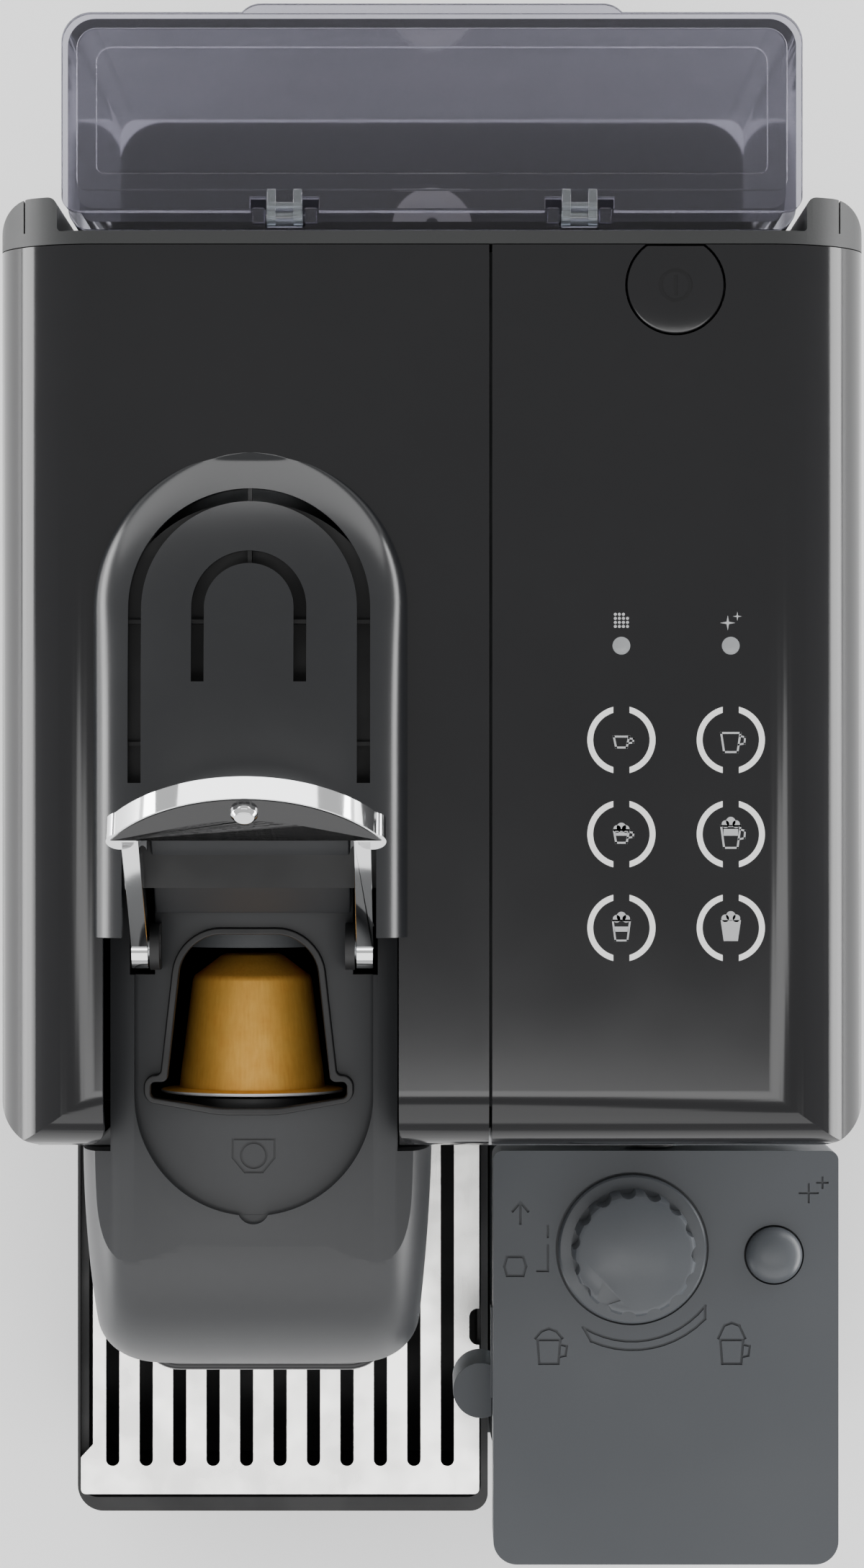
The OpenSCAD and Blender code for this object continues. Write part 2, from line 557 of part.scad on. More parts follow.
module cup_grid() color("#dcdddd") difference() {
  along_z(grid_z - 4, grid_z) pan(tx0 + 0.8, tx1 - 2, ytray + 4, yf - 2, [4, 3, 0, 0]);
  p = (tx1 - tx0 - 17.5)/(grid_slots - 1);
  for (i = [0:grid_slots - 1]) translate([0, 0, 0]) along_z(grid_z - 6, grid_z + 2) union() {
    translate([tx0 + 9.8 + i*p*0.9986, ytray + 10.05]) circle(1.55);
    translate([tx0 + 9.8 + i*p*0.9986 - 1.55, ytray + 10.05]) square([3.1, yf - 7 - ytray - 10.05]);
  }
  translate([tx1 - 1.5, ytray + 43.5, grid_z - 6]) cylinder(h = 8, r = 4.2);
}
module milk_container() color("#c9d0d4") difference() {
  along_z(shelf + 0.3, jt - 20) pan(jx0 + 3.1, jx1 - 3.1, jy0 + 3, jy1 - 3, [9, 9, 5, 5]);
  along_z(shelf + 3, jt - 19) pan(jx0 + 5.1, jx1 - 5.1, jy0 + 5, jy1 - 5, [7, 7, 3, 3]);
}
module jug_lid() color("#55585c") difference() {
  union() {
    intersection() {
      along_z(jt - 19.7, jt) pan(jx0, jx1, jy0, jy1, [6, 6, 4, 4]);
      along_y(jy0 - 1, jy1 + 1) pan(jx0, jx1, jt - 20, jt, [0, 0, 3, 3]);
      along_x(jx0 - 1, jx1 + 1) pan(jy0, jy1, jt - 20, jt, [0, 0, 3, 3]);
    }
    along_z(jt - 26, jt - 18) pan(jx0 + 6.6, jx1 - 6.6, jy0 + 6.8, jy1 - 6.8, [6, 6, 2, 2]);
    cx_(yf - 57.5, jt - 12, 6.4, jx0 - 4, jx0 + 1);
    cz_(jx0 - 3.4, yf - 57.5, 3.4 - run, jt - 38, jt - 12);
  }
  along_z(jt - 27, jt - 14) pan(jx0 + 8.6, jx1 - 8.6, jy0 + 9, jy1 - 9, [4, 4, 1, 1]);
  cz_(kx, ky, knob_r + 0.4, jt - 3.2, jt + 1);
  cz_(kx, ky, 4 + run, jt - 12.4, jt + 1);
  cz_(clean[0], clean[1], 6.3, jt - 3, jt + 1);
  cz_(clean[0], clean[1], 3 + run, jt - 12.4, jt + 1);
  cy_(kx + 4, pz, 3, jy1 - 20, jy1 + 1);
  cz_(jx0 - 3.4, yf - 57.5, 2, jt - 40, jt - 12);
  difference() {
    cz_(jx0 - 3.4, yf - 57.5, 6.2, jt - 45, jt - 15);
    cz_(jx0 - 3.4, yf - 57.5, 3.4 - run, jt - 46, jt - 14);
  }
  for (x = [jx0 - 1, jx1 - 5]) bx(x, x + 6, jy0 + 33.8, jy0 + 53.8, jt - 13.6, jt - 7);
}
module lid_seal() color("#2a2a2b") along_z(jt - 24.4, jt - 22) difference() {
  pan(jx0 + 5.2, jx1 - 5.2, jy0 + 5.2, jy1 - 5.2, [7, 7, 3, 3]);
  pan(jx0 + 6.6, jx1 - 6.6, jy0 + 6.8, jy1 - 6.8, [6, 6, 2, 2]);
}
module froth_knob() color("#4f5256") difference() {
  union() {
    cz_(kx, ky, knob_r, jt - 3, jt + 1.5);
    cz_(kx, ky, knob_r*0.76, jt + 1, jt + 14);
    for (i = [0:14]) cz_(kx + knob_r*0.74*cos(i*24), ky + knob_r*0.74*sin(i*24), 1.5, jt + 1, jt + 14);
    cz_(kx, ky, 4, jt - 12, jt);
  }
  translate([kx, ky, jt + 13.4]) rotate([0, 0, 225]) translate([6, 0, 0]) cylinder(h = 2, r = 2, $fn = 3);
}
module clean_button() color("#5b5e62") {
  cz_(clean[0], clean[1], 5.9, jt - 1, jt + 5);
  cz_(clean[0], clean[1], 3, jt - 10, jt);
}
module milk_spout() color("#505357") difference() {
  union() {
    cz_(jx0 - 3.4, yf - 57.5, 5.9, jt - 42, jt - 15.3);
  }
  cz_(jx0 - 3.4, yf - 57.5, 3.4, jt - 44, jt - 10);
}
module suction_tube() color("#dfe1e2") difference() {
  cz_(kx + 22, ky - 30, 3, shelf + 8, jt - 14.1);
  cz_(kx + 22, ky - 30, 1.8, shelf + 6, jt - 15);
}
module left_release() color("#46494c") bx(jx0 - 0.4, jx0 + 3, jy0 + 34.2, jy0 + 53.4,
  jt - 13.2, jt - 7.4);
module right_release() color("#46494c") bx(jx1 - 3, jx1 + 0.4, jy0 + 34.2, jy0 + 53.4,
  jt - 13.2, jt - 7.4);

base_plate();
feet();
base_screws();
chassis();
left_shell();
right_shell();
rear_frame();
front_panel();
hood();
brew_head();
coffee_outlet();
slot_lip();
extraction_plate();
lever_bearings();
lever_pins();
brew_lever();
lever_nub();
brew_piston();
piston_seal();
piston_guide();
boiler();
pump_body();
pump_coil();
pump_mounts();
flow_meter();
water_hoses();
steam_valve();
steam_hose();
steam_nozzle();
control_board();
touch_board();
power_switch();
power_button();
led_lenses();
key_rings();
tank_seat();
seat_seal();
cable_gland();
jug_shelf();
water_tank();
tank_lid();
tank_valve();
valve_poppet();
capsule_shell();
capsule_foil();
drip_tray();
capsule_bin();
cup_grid();
milk_container();
jug_lid();
lid_seal();
froth_knob();
clean_button();
milk_spout();
suction_tube();
left_release();
right_release();
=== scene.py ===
import math
import bmesh
import bpy
from mathutils import Matrix, Vector


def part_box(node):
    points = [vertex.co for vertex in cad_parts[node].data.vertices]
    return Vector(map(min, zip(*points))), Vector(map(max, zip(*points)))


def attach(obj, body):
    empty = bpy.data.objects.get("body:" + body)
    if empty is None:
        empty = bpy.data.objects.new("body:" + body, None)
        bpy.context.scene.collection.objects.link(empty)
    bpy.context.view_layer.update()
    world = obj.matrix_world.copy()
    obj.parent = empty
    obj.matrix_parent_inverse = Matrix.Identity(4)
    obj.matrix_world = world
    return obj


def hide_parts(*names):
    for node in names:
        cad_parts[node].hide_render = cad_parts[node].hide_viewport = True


# The camera looks straight down on the machine, with the water tank at the top of the view
camera = bpy.data.objects.new("camera", bpy.data.cameras.new("camera"))
camera.data.lens = 114.33
camera.data.clip_end = 20
camera.location = (0, 0.0065, 1.228)
bpy.context.collection.objects.link(camera)
bpy.context.scene.camera = camera

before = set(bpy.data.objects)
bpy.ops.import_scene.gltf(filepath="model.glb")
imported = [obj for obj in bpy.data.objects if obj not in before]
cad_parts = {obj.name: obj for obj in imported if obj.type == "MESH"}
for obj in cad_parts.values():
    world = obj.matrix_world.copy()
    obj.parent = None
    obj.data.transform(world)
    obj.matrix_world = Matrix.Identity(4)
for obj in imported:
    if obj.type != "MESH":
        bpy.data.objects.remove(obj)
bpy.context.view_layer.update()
print("frame loaded")

# Sizes that several pieces share, in millimetres
body = {"half": 86.5, "front": -65.5, "rear": 113, "top": 245, "seamX": 11.6, "sideRound": 20, "frontRound": 11.5}
head = {"x": -35.8, "neckHalf": 28.85, "drumHalf": 35.35, "drumFront": -113.5, "low": 165, "top": 231}
leverAt = {"y": -26, "z": 233.9, "lean": math.radians(-124)}


def linear(hexColour):
    parts = [int(hexColour[i:i + 2], 16) / 255 for i in (0, 2, 4)]
    return [p / 12.92 if p <= 0.04045 else ((p + 0.055) / 1.055) ** 2.4 for p in parts] + [1]


def addNode(tree, kind, settings=None, links=None):
    node = tree.nodes.new(kind)
    for name, value in (settings or {}).items():
        if isinstance(name, int) or name in node.inputs:
            node.inputs[name].default_value = value
        else:
            setattr(node, name, value)
    for name, source in (links or {}).items():
        tree.links.new(source, node.inputs[name])
    return node


# What each finish is made of. grain is the size in mm of the surface pattern, depth its height in mm,
# stretch draws the pattern out along one axis, patch is the size in mm of slow changes in colour and gloss.
finishes = {
    # injection moulded ABS from a mirror polished tool: deep black that mirrors its surroundings
    "pianoBlackAbs": {"colour": "0f0f11", "shade": "131315", "rough": 0.10, "roughTo": 0.15, "grain": 6, "depth": 0.002,
                      "patch": 60, "ior": 1.46},
    # spark eroded ABS: fine even grain that breaks the light up
    "grainedGreyAbs": {"colour": "212223", "shade": "282929", "rough": 0.46, "roughTo": 0.55, "grain": 0.5, "depth": 0.02,
                       "patch": 30, "ior": 1.46},
    # satin ABS of the hood: soft broad highlights
    "satinHoodAbs": {"colour": "17181a", "shade": "1c1d1f", "rough": 0.20, "roughTo": 0.26, "grain": 3, "depth": 0.003,
                     "patch": 40, "ior": 1.5},
    # satin ABS of the brew head, a little lighter and rougher than the hood
    "satinHeadAbs": {"colour": "27282a", "shade": "2d2e30", "rough": 0.42, "roughTo": 0.48, "grain": 2.5, "depth": 0.004,
                     "patch": 40, "ior": 1.5},
    # light grey ABS trim with a fine grain
    "lightGreyAbs": {"colour": "a5a6a8", "shade": "b0b1b2", "rough": 0.38, "roughTo": 0.46, "grain": 0.6, "depth": 0.01,
                     "patch": 30, "ior": 1.46},
    # plain black polypropylene of inner walls: dull and slightly mottled
    "blackPolypropylene": {"colour": "121213", "shade": "1b1b1c", "rough": 0.42, "roughTo": 0.58, "grain": 1.2, "depth": 0.012,
                           "patch": 18, "ior": 1.49},
    # grey glass filled nylon of the inner frame: coarse and dull
    "greyNylon": {"colour": "333537", "shade": "3d3f41", "rough": 0.55, "roughTo": 0.7, "grain": 0.9, "depth": 0.03,
                  "patch": 14, "ior": 1.52},
    # blue grey ABS of the milk lid: soft touch, finely grained
    "blueGreyAbs": {"colour": "3c3f43", "shade": "414448", "rough": 0.42, "roughTo": 0.5, "grain": 0.45, "depth": 0.012,
                    "patch": 50, "ior": 1.46},
    # the same ABS on the knob and button, a touch lighter: painted light on these raised parts
    "raisedPartsLitAbs": {"colour": "43464a", "shade": "4a4d51", "rough": 0.3, "roughTo": 0.42, "grain": 0.45, "depth": 0.01,
                   "patch": 9, "ior": 1.46},
    # chromium plate on zinc: a true mirror
    "chromePlate": {"colour": "e6e7e8", "shade": "dedfe0", "rough": 0.04, "roughTo": 0.08, "grain": 4, "depth": 0.002,
                    "patch": 20, "metal": 1},
    # polished stainless sheet with very fine lines along its length
    "polishedStainless": {"colour": "ecebe8", "shade": "dddcd9", "rough": 0.2, "roughTo": 0.3, "grain": 0.35, "depth": 0.004,
                          "patch": 12, "metal": 1, "stretch": (1, 0.04, 1)},
    # turned steel pins and screws with fine rings
    "turnedSteel": {"colour": "b4b6b8", "shade": "a2a4a6", "rough": 0.25, "roughTo": 0.4, "grain": 0.3, "depth": 0.006,
                    "patch": 4, "metal": 1, "stretch": (1, 1, 0.1)},
    # gold anodised aluminium, brushed along the cup: bright with fine lengthwise lines
    "goldAnodised": {"colour": "ffcb62", "shade": "cf8a2e", "rough": 0.42, "roughTo": 0.55, "grain": 0.5, "depth": 0.02,
                     "patch": 3, "metal": 0.5, "stretch": (1, 0.02, 1)},
    # plain rolled aluminium foil: pale, slightly wavy
    "rolledFoil": {"colour": "f4f4f4", "shade": "e8e8e9", "rough": 0.28, "roughTo": 0.4, "grain": 2, "depth": 0.03,
                   "patch": 6, "metal": 0.4},
    # sand cast aluminium of the boiler: pitted and grey
    "castAluminium": {"colour": "9a9c9e", "shade": "86888a", "rough": 0.45, "roughTo": 0.65, "grain": 1.1, "depth": 0.08,
                      "patch": 10, "metal": 1},
    # moulded rubber of feet and seals: dark, powdery
    "mouldedRubber": {"colour": "17171a", "shade": "232325", "rough": 0.7, "roughTo": 0.85, "grain": 0.7, "depth": 0.02,
                      "patch": 9, "ior": 1.52},
    # red food grade silicone
    "redSilicone": {"colour": "a33b26", "shade": "b04a32", "rough": 0.45, "roughTo": 0.6, "grain": 1, "depth": 0.01,
                    "patch": 6, "ior": 1.41},
    # milky silicone hose
    "milkySilicone": {"colour": "d9dad4", "shade": "c9cac2", "rough": 0.35, "roughTo": 0.5, "grain": 1, "depth": 0.01,
                      "patch": 8, "ior": 1.41},
    # green solder resist over fibre glass weave
    "solderResist": {"colour": "1f5a34", "shade": "2a6c40", "rough": 0.3, "roughTo": 0.45, "grain": 0.8, "depth": 0.02,
                     "patch": 5, "ior": 1.5},
    # white nylon of small fittings
    "whiteNylon": {"colour": "d8d6cf", "shade": "cac7be", "rough": 0.45, "roughTo": 0.6, "grain": 0.8, "depth": 0.01,
                   "patch": 7, "ior": 1.53},
    # lacquered tape around the pump coil
    "coilTape": {"colour": "8a2b1e", "shade": "74231a", "rough": 0.35, "roughTo": 0.5, "grain": 0.6, "depth": 0.05,
                 "patch": 8, "ior": 1.5, "stretch": (1, 8, 1)},
    # white acrylic light guide, slightly glowing from its own scatter
    "whiteAcrylic": {"colour": "f2f2f0", "shade": "eaeae8", "rough": 0.35, "roughTo": 0.42, "grain": 1, "depth": 0.001,
                     "patch": 5, "ior": 1.49},
    # grey tinted acrylic lens
    "greyAcrylic": {"colour": "8c8e90", "shade": "848688", "rough": 0.25, "roughTo": 0.32, "grain": 1, "depth": 0.001,
                    "patch": 3, "ior": 1.49},
    # smoke tinted SAN of the water tank: clear, grey where it is thick
    "smokedSan": {"colour": "b6b5bf", "shade": "afaeb9", "rough": 0.03, "roughTo": 0.07, "grain": 9, "depth": 0.004,
                  "patch": 30, "ior": 1.34, "clear": 0.96},
    # clear copolyester of the milk container
    "clearCopolyester": {"colour": "dfe5e8", "shade": "dae0e3", "rough": 0.04, "roughTo": 0.08, "grain": 9, "depth": 0.004,
                         "patch": 30, "ior": 1.45, "clear": 0.9},
}


def makeFinish(name, f):
    material = bpy.data.materials.new(name)
    material.use_nodes = True
    tree = material.node_tree
    tree.nodes.clear()
    place = addNode(tree, "ShaderNodeTexCoord").outputs["Object"]
    stretched = addNode(tree, "ShaderNodeMapping", {"Scale": f.get("stretch", (1, 1, 1))}, {"Vector": place}).outputs["Vector"]
    patches = addNode(tree, "ShaderNodeTexNoise", {"Scale": 1000 / f["patch"], "Detail": 3}, {"Vector": place}).outputs["Fac"]
    grain = addNode(tree, "ShaderNodeTexNoise", {"Scale": 1000 / f["grain"], "Detail": 2}, {"Vector": stretched}).outputs["Fac"]
    both = addNode(tree, "ShaderNodeMath", {"operation": "MULTIPLY_ADD", 1: 0.5}, {0: grain}).outputs[0]
    tree.links.new(addNode(tree, "ShaderNodeMath", {"operation": "MULTIPLY", 1: 0.5}, {0: patches}).outputs[0], both.node.inputs[2])
    colour = addNode(tree, "ShaderNodeMix", {"data_type": "RGBA"}, {"Factor": both})
    colour.inputs[6].default_value = linear(f["colour"])
    colour.inputs[7].default_value = linear(f["shade"])
    rough = addNode(tree, "ShaderNodeMapRange", {"From Min": 0.35, "From Max": 0.65, "To Min": f["rough"], "To Max": f["roughTo"]},
                    {"Value": patches}).outputs["Result"]
    bump = addNode(tree, "ShaderNodeBump", {"Strength": 0.6, "Distance": f["depth"] * 0.001}, {"Height": grain}).outputs["Normal"]
    shader = addNode(tree, "ShaderNodeBsdfPrincipled", {"Metallic": f.get("metal", 0)},
                     {"Base Color": colour.outputs[2], "Roughness": rough, "Normal": bump})
    if "ior" in f:
        shader.inputs["IOR"].default_value = f["ior"]
    if "clear" in f:
        shader.inputs["Transmission Weight"].default_value = f["clear"]
    addNode(tree, "ShaderNodeOutputMaterial", None, {"Surface": shader.outputs[0]})
    return material


finish = {name: makeFinish(name, f) for name, f in finishes.items()}
print("finishes made")


# Modelling helpers: everything is drawn in millimetres and scaled to metres when it becomes a piece
def turnTo(bm, axis):
    if axis == "Y":
        bm.transform(Matrix(((1, 0, 0, 0), (0, 0, 1, 0), (0, 1, 0, 0), (0, 0, 0, 1))))
    if axis == "X":
        bm.transform(Matrix(((0, 0, 1, 0), (1, 0, 0, 0), (0, 1, 0, 0), (0, 0, 0, 1))))
    bmesh.ops.recalc_face_normals(bm, faces=bm.faces)
    return bm


def outline(corners, rounds=None, segments=12):
    bm = bmesh.new()
    points = [bm.verts.new((x, y, 0)) for x, y in corners]
    places = [Vector(c) for c in corners]
    bm.faces.new(points)
    rounds = rounds if isinstance(rounds, (list, tuple)) else [rounds or 0] * len(corners)
    for i, radius in enumerate(rounds):
        if radius:
            before = (places[i] - places[i - 1]).normalized()
            after = (places[(i + 1) % len(places)] - places[i]).normalized()
            turn = before.angle(after)
            bmesh.ops.bevel(bm, geom=[points[i]], offset=radius * math.tan(turn / 2), offset_type="OFFSET", segments=segments,
                            profile=0.5, affect="VERTICES", material=-1)
    return bm


def prism(corners, low, high, rounds=None, axis="Z", segments=12):
    bm = outline(corners, rounds, segments)
    raised = bmesh.ops.extrude_face_region(bm, geom=bm.faces[:])
    bmesh.ops.translate(bm, verts=[v for v in raised["geom"] if isinstance(v, bmesh.types.BMVert)], vec=(0, 0, high - low))
    bmesh.ops.translate(bm, verts=bm.verts, vec=(0, 0, low))
    return turnTo(bm, axis)


def rectangle(x0, x1, y0, y1):
    return [(x0, y0), (x1, y0), (x1, y1), (x0, y1)]


def block(x0, x1, y0, y1, z0, z1, rounds=None, axis="Z", segments=12):
    if axis == "Z":
        return prism(rectangle(x0, x1, y0, y1), z0, z1, rounds, axis, segments)
    if axis == "Y":
        return prism(rectangle(x0, x1, z0, z1), y0, y1, rounds, axis, segments)
    return prism(rectangle(y0, y1, z0, z1), x0, x1, rounds, axis, segments)


def rod(x, y, z, radius, length, axis="Z", segments=64, tip=None):
    bm = bmesh.new()
    bmesh.ops.create_cone(bm, cap_ends=True, segments=segments, radius1=radius, radius2=radius if tip is None else tip, depth=length)
    bmesh.ops.translate(bm, verts=bm.verts, vec=(0, 0, length / 2))
    turnTo(bm, axis)
    bmesh.ops.translate(bm, verts=bm.verts, vec=(x, y, z))
    return bm


def turned(profile, x, y, z, axis="Z", steps=96):
    bm = bmesh.new()
    points = [bm.verts.new((r, 0, h)) for r, h in profile]
    edges = [bm.edges.new(pair) for pair in zip(points, points[1:])]
    bmesh.ops.spin(bm, geom=points + edges, cent=(0, 0, 0), axis=(0, 0, 1), angle=math.tau, steps=steps, use_merge=True)
    bmesh.ops.remove_doubles(bm, verts=bm.verts, dist=0.0005)
    turnTo(bm, axis)
    bmesh.ops.translate(bm, verts=bm.verts, vec=(x, y, z))
    return bm


def loft(stations, power, low, steps=56):
    # stations are (y, half width, top height, middle x); each section is a soft arch standing on low
    bm = bmesh.new()
    loops = []
    for y, half, high, x in stations:
        ring = []
        for i in range(steps + 1):
            a = math.pi * i / steps
            across = math.copysign(abs(math.cos(a)) ** (2 / power), math.cos(a))
            ring.append(bm.verts.new((x + half * across, y, low + (high - low) * math.sin(a) ** (2 / power))))
        loops.append([bm.edges.new(pair) for pair in zip(ring, ring[1:] + ring[:1])])
    for first, second in zip(loops, loops[1:]):
        bmesh.ops.bridge_loops(bm, edges=first + second)
    bmesh.ops.holes_fill(bm, edges=loops[0] + loops[-1], sides=0)
    bmesh.ops.recalc_face_normals(bm, faces=bm.faces)
    return bm


def meshOf(bm, name="work"):
    mesh = bpy.data.meshes.new(name)
    bm.to_mesh(mesh)
    bm.free()
    return mesh


def joined(*parts):
    whole = bmesh.new()
    for part in parts:
        whole.from_mesh(meshOf(part))
    return whole


def carve(bm, *tools, how="DIFFERENCE", tangled=False):
    first = bpy.data.objects.new("first", meshOf(bm))
    bpy.context.collection.objects.link(first)
    helpers = []
    for tool in tools:
        helper = bpy.data.objects.new("tool", meshOf(tool))
        bpy.context.collection.objects.link(helper)
        helpers.append(helper)
        cut = first.modifiers.new("cut", "BOOLEAN")
        cut.operation, cut.object, cut.solver = how, helper, "EXACT"
        cut.use_self = tangled  # cutters that cross themselves
    result = bmesh.new()
    result.from_mesh(first.evaluated_get(bpy.context.evaluated_depsgraph_get()).to_mesh())
    for used in helpers + [first]:
        bpy.data.objects.remove(used)
    bmesh.ops.remove_doubles(result, verts=result.verts, dist=0.001)
    bmesh.ops.dissolve_limit(result, angle_limit=0.002, verts=result.verts, edges=result.edges)
    return result


def shadeByAngle(bm, degrees=32):
    for face in bm.faces:
        face.smooth = True
    for edge in bm.edges:
        edge.smooth = not (len(edge.link_faces) == 2 and edge.calc_face_angle(0) > math.radians(degrees))


def addPiece(name, bm, finishName, rides, stands=(), soften=0.0, softSteps=2, degrees=32):
    bmesh.ops.scale(bm, verts=bm.verts, vec=(0.001, 0.001, 0.001))
    bmesh.ops.recalc_face_normals(bm, faces=bm.faces)
    shadeByAngle(bm, degrees)
    piece = bpy.data.objects.new(name, meshOf(bm, name))
    bpy.context.collection.objects.link(piece)
    piece.data.materials.append(finish[finishName])
    if soften:
        rounding = piece.modifiers.new("rounding", "BEVEL")
        rounding.width, rounding.segments, rounding.limit_method = soften * 0.001, softSteps, "ANGLE"
        rounding.angle_limit = math.radians(degrees)
        rounding.harden_normals = True
    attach(piece, rides)
    if stands:
        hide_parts(*stands)
    return piece


def iconBox(x, y, points, height, thick, closed=True):
    # A flat outline drawn as a thin raised line, from a list of points around x, y
    spots = [Vector((x + u, y + v)) for u, v in points]
    pairs = list(zip(spots, spots[1:] + ([spots[0]] if closed else [])))[:len(spots) if closed else len(spots) - 1]
    bars = []
    for a, b in pairs:
        side = (b - a).normalized().orthogonal() * thick / 2
        along = (b - a).normalized() * thick / 2
        corners = [tuple(a - along + side), tuple(b + along + side), tuple(b + along - side), tuple(a - along - side)]
        bars.append(prism(corners, height[0], height[1]))
    return bars


def leanLever(bm):
    pivot = Matrix.Translation((0, leverAt["y"], leverAt["z"]))
    bm.transform(pivot @ Matrix.Rotation(leverAt["lean"], 4, "X") @ pivot.inverted())
    return bm


# Housing: two glossy covers that meet at a straight seam
def housingForm(inset, low, back):
    h, f, t = body["half"] - inset, body["front"] + inset, body["top"] - inset
    side, front = body["sideRound"] - inset, body["frontRound"] - inset
    form = prism(rectangle(-h, h, low, t), f - 1, back, [0, 0, side, side], "Y", 24)
    return carve(form, prism(rectangle(f, back + 1, low - 1, t), -h - 1, h + 1, [0, 0, 0, front], "X", 20),
                 prism(rectangle(-h, h, f, back + 2), low - 2, t + 1, [10 - inset, 10 - inset, 0, 0], "Z", 16), how="INTERSECT")


covers = {"wall": 2.5, "seam": 0.6, "lip": 214, "gapFlare": 3.7, "powerX": 48.1, "powerY": 105, "powerRadius": 9.95}


def makeCovers():
    f, gap = body["front"], head["neckHalf"] + 0.4
    x0, x1 = head["x"] - gap, head["x"] + gap
    headGap = prism([(x0 - 14, f - 12), (x1 + 14, f - 12), (x1 + 14, f), (x1, f), (x1, 69), (x0, 69), (x0, f), (x0 - 14, f)],
                    body["top"] - 60, body["top"] + 5, [0, 0, 0, covers["gapFlare"], 28, 28, covers["gapFlare"], 0], "Z", 14)
    shell = carve(housingForm(0, 8, body["rear"]), housingForm(covers["wall"], 6, body["rear"] + 4),
                  block(-80.5, 80.5, f - 2, f + 5, 6, covers["lip"]))
    whole = meshOf(shell)
    for side in (-1, 1):
        half = bmesh.new()
        half.from_mesh(whole)
        edge = body["seamX"] + side * covers["seam"] / 2
        away = block(edge, 120, -90, 130, 0, 260) if side < 0 else block(-120, edge, -90, 130, 0, 260)
        if side < 0:
            half = carve(half, away, headGap)
            addPiece("leftCover", half, "pianoBlackAbs", "machine", ["left_shell"], 0.35, 3)
        else:
            half = carve(half, away, rod(covers["powerX"], covers["powerY"], 235, covers["powerRadius"], 20))
            addPiece("rightCover", half, "pianoBlackAbs", "machine", ["right_shell"], 0.3, 3)
    button = carve(turned([(0, 236), (9.65, 236), (9.65, 244.55), (9.45, 244.9), (9.1, 245), (0, 244.9)],
                          covers["powerX"], covers["powerY"], 0),
                   block(20, 70, body["rear"] - 0.3, 130, 230, 250))
    mark = turned([(2.55, 244.6), (3.35, 244.6), (3.35, 246), (2.55, 246), (2.55, 244.6)], covers["powerX"], covers["powerY"], 0)
    line = block(covers["powerX"] - 0.4, covers["powerX"] + 0.4, covers["powerY"] - 2.1, covers["powerY"] + 2.1, 244.6, 246)
    addPiece("powerButton", carve(button, mark, line), "pianoBlackAbs", "power_button", ["power_button"], 0.08)
    print("covers made")


makeCovers()

# Rear frame: a thin upright frame with an ear on each side of the tank
rearFrame = {"front": 113.2, "back": 115.8, "earFrom": 74.2, "earBack": 122.6, "innerRound": 0.8, "outerRound": 7}


def makeRearFrame():
    r, h = rearFrame, body["half"]
    plan = [(-h, r["front"]), (h, r["front"]), (h, r["earBack"]), (r["earFrom"], r["earBack"]), (r["earFrom"], r["back"]),
            (-r["earFrom"], r["back"]), (-r["earFrom"], r["earBack"]), (-h, r["earBack"])]
    form = prism(plan, 7.3, body["top"], [0, 0, r["outerRound"], 2, r["innerRound"], r["innerRound"], 2, r["outerRound"]], "Z", 12)
    form = carve(form, prism(rectangle(-h, h, 7.3, body["top"]), 112, 124, [0, 0, 20, 20], "Y", 24), how="INTERSECT")
    vents = [block(-64.5, -40.5, 110, 120, 20 + i * 6, 23 + i * 6) for i in range(9)]
    grooves = [block(s * 81 - 0.15, s * 81 + 0.15, 115.8, 130, 200, 250) for s in (-1, 1)]
    form = carve(form, joined(*vents), joined(*grooves), block(40, 60, 110, 120, 12, 34))
    addPiece("rearFrame", form, "grainedGreyAbs", "machine", ["rear_frame"], 0.7, 3)
    print("rear frame made")


makeRearFrame()

# Hood: a barrel vaulted cover with two arched vents, open to the front as a visor
hood = {"half": 31, "archY": 41, "front": -23.6, "rear": 72, "crown": 258, "power": 2.9, "outerVent": 22.4, "outerWidth": 2.6,
        "innerVent": 10, "innerWidth": 2.5}


def archVent(radius, width, front):
    arch = turned([(radius - width / 2, 230), (radius + width / 2, 230), (radius + width / 2, 270), (radius - width / 2, 270),
                   (radius - width / 2, 230)], head["x"], hood["archY"], 0, steps=120)
    arch = carve(arch, block(head["x"] - 40, head["x"] + 40, -20, hood["archY"], 220, 280))
    legs = [block(head["x"] + s * radius - width / 2, head["x"] + s * radius + width / 2, front, hood["archY"] + 0.001, 230, 270)
            for s in (-1, 1)]
    return [arch] + legs


